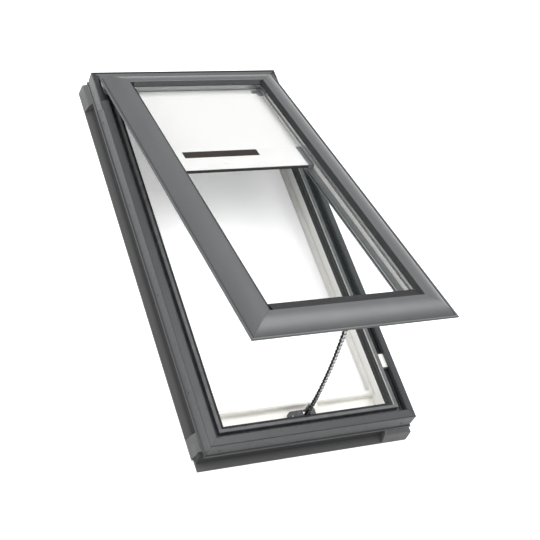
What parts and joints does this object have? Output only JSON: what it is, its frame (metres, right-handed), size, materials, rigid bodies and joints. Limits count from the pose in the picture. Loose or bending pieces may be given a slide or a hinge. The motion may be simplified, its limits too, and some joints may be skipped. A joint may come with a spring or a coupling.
{
  "type": "venting roof skylight",
  "caption": "Deck-mounted roof skylight with a top-hung glazed sash, held open by a hand-cranked chain, a solar blind and an insect screen.",
  "frame": {"origin": "centre of the frame in plan, on the roof deck under it", "axes": "+X across the roof, +Y up the slope to the hinges, +Z out of the roof"},
  "size_m": [0.614, 1.243, 0.4664],
  "materials": {
    "painted_timber": "satin paint",
    "frame_cover_paint": "satin",
    "head_cover_paint": "satin",
    "sash_cover_paint": "satin",
    "black_gasket": "matte",
    "groove_gasket": "matte",
    "rib_rubber": "matte",
    "deck_seal_rubber": "matte",
    "boot_plastic": "matte",
    "white_plastic": "satin",
    "zinc_steel": "zinc plated",
    "bright_steel": "satin",
    "dark_screw": "satin",
    "black_casting": "satin",
    "brass_gear": "satin",
    "screen_paint": "satin",
    "screen_net": "matte",
    "clear_glass": "clear",
    "spacer_metal": "satin",
    "channel_metal": "satin",
    "rail_paint": "satin",
    "grey_plastic": "satin",
    "blind_cloth": "matte",
    "solar_glass": "dark",
    "motor_metal": "satin",
    "battery_wrap": "satin"
  },
  "bodies": {
    "frame": {"frame_head": "painted_timber", "frame_sill": "painted_timber", "frame_jamb_left": "painted_timber", "frame_jamb_right": "painted_timber", "head_cover": "head_cover_paint", "sill_cover": "frame_cover_paint", "jamb_cover_left": "frame_cover_paint", "jamb_cover_right": "frame_cover_paint", "inner_gasket": "black_gasket", "groove_gasket": "groove_gasket", "rib_strip": "rib_rubber", "head_seal": "black_gasket", "deck_seal": "deck_seal_rubber", "deck_seal_boots": "boot_plastic", "guide_block": "white_plastic", "hinge_bracket_left": "zinc_steel", "hinge_bracket_right": "zinc_steel", "hinge_pins": "bright_steel", "cover_screws": "dark_screw", "operator_housing": "black_casting", "gear_case": "white_plastic", "sill_trim": "white_plastic", "chain": "bright_steel", "screen_frame": "screen_paint", "screen_mesh": "screen_net", "screen_clips": "white_plastic"},
    "sprocket": {"chain_sprocket": "bright_steel", "sprocket_shaft": "bright_steel", "worm_wheel": "brass_gear"},
    "crank": {"crank_worm": "bright_steel"},
    "sash": {"sash_head": "painted_timber", "sash_foot": "painted_timber", "sash_stile_left": "painted_timber", "sash_stile_right": "painted_timber", "sash_cover_head": "sash_cover_paint", "sash_cover_foot": "sash_cover_paint", "sash_cover_left": "sash_cover_paint", "sash_cover_right": "sash_cover_paint", "outer_pane": "clear_glass", "inner_pane": "clear_glass", "pane_spacer": "spacer_metal", "pane_edge_seal": "black_gasket", "glazing_gasket": "black_gasket", "hinge_leaf_left": "zinc_steel", "hinge_leaf_right": "zinc_steel", "chain_bracket": "zinc_steel", "chain_pin": "bright_steel", "blind_head_rail": "rail_paint", "blind_channel_left": "channel_metal", "blind_channel_right": "channel_metal", "blind_corner_brackets": "grey_plastic", "blind_fabric": "blind_cloth"},
    "blind": {"blind_bar": "rail_paint", "bar_carriers": "grey_plastic", "bar_edge_seal": "black_gasket", "solar_panel": "solar_glass", "blind_motor": "motor_metal", "blind_battery": "battery_wrap"},
    "blind_button": {"blind_button": "white_plastic"}
  },
  "joints": [
    {"name": "sash_hinge", "type": "hinge", "parent": "frame", "child": "sash", "pos_m": [0, 0.5455, 0.095], "axis": [-1, 0, 0], "range_deg": [-17.8, 0], "deforming": ["chain"]},
    {"name": "sprocket_spin", "type": "hinge", "parent": "frame", "child": "sprocket", "pos_m": [0, -0.5325, 0.05], "axis": [-1, 0, 0], "range_deg": [-1610, 0]},
    {"name": "crank_spin", "type": "hinge", "parent": "frame", "child": "crank", "pos_m": [0.034, -0.5145, 0.05], "axis": [0, 0, 1], "range_deg": [-16050, 0]},
    {"name": "blind_slide", "type": "slide", "parent": "sash", "child": "blind", "axis": [0, -0.9521, 0.3057], "range_m": [-0.243, 0.61], "deforming": ["blind_fabric"]},
    {"name": "button_press", "type": "slide", "parent": "blind", "child": "blind_button", "axis": [0, -0.3057, -0.9521], "range_m": [0, 0.0015], "stiffness_N_per_m": 500}
  ],
  "couplings": [
    {"joint": "sprocket_spin", "follows": "sash_hinge", "ratio": 90},
    {"joint": "crank_spin", "follows": "sash_hinge", "ratio": 900}
  ]
}
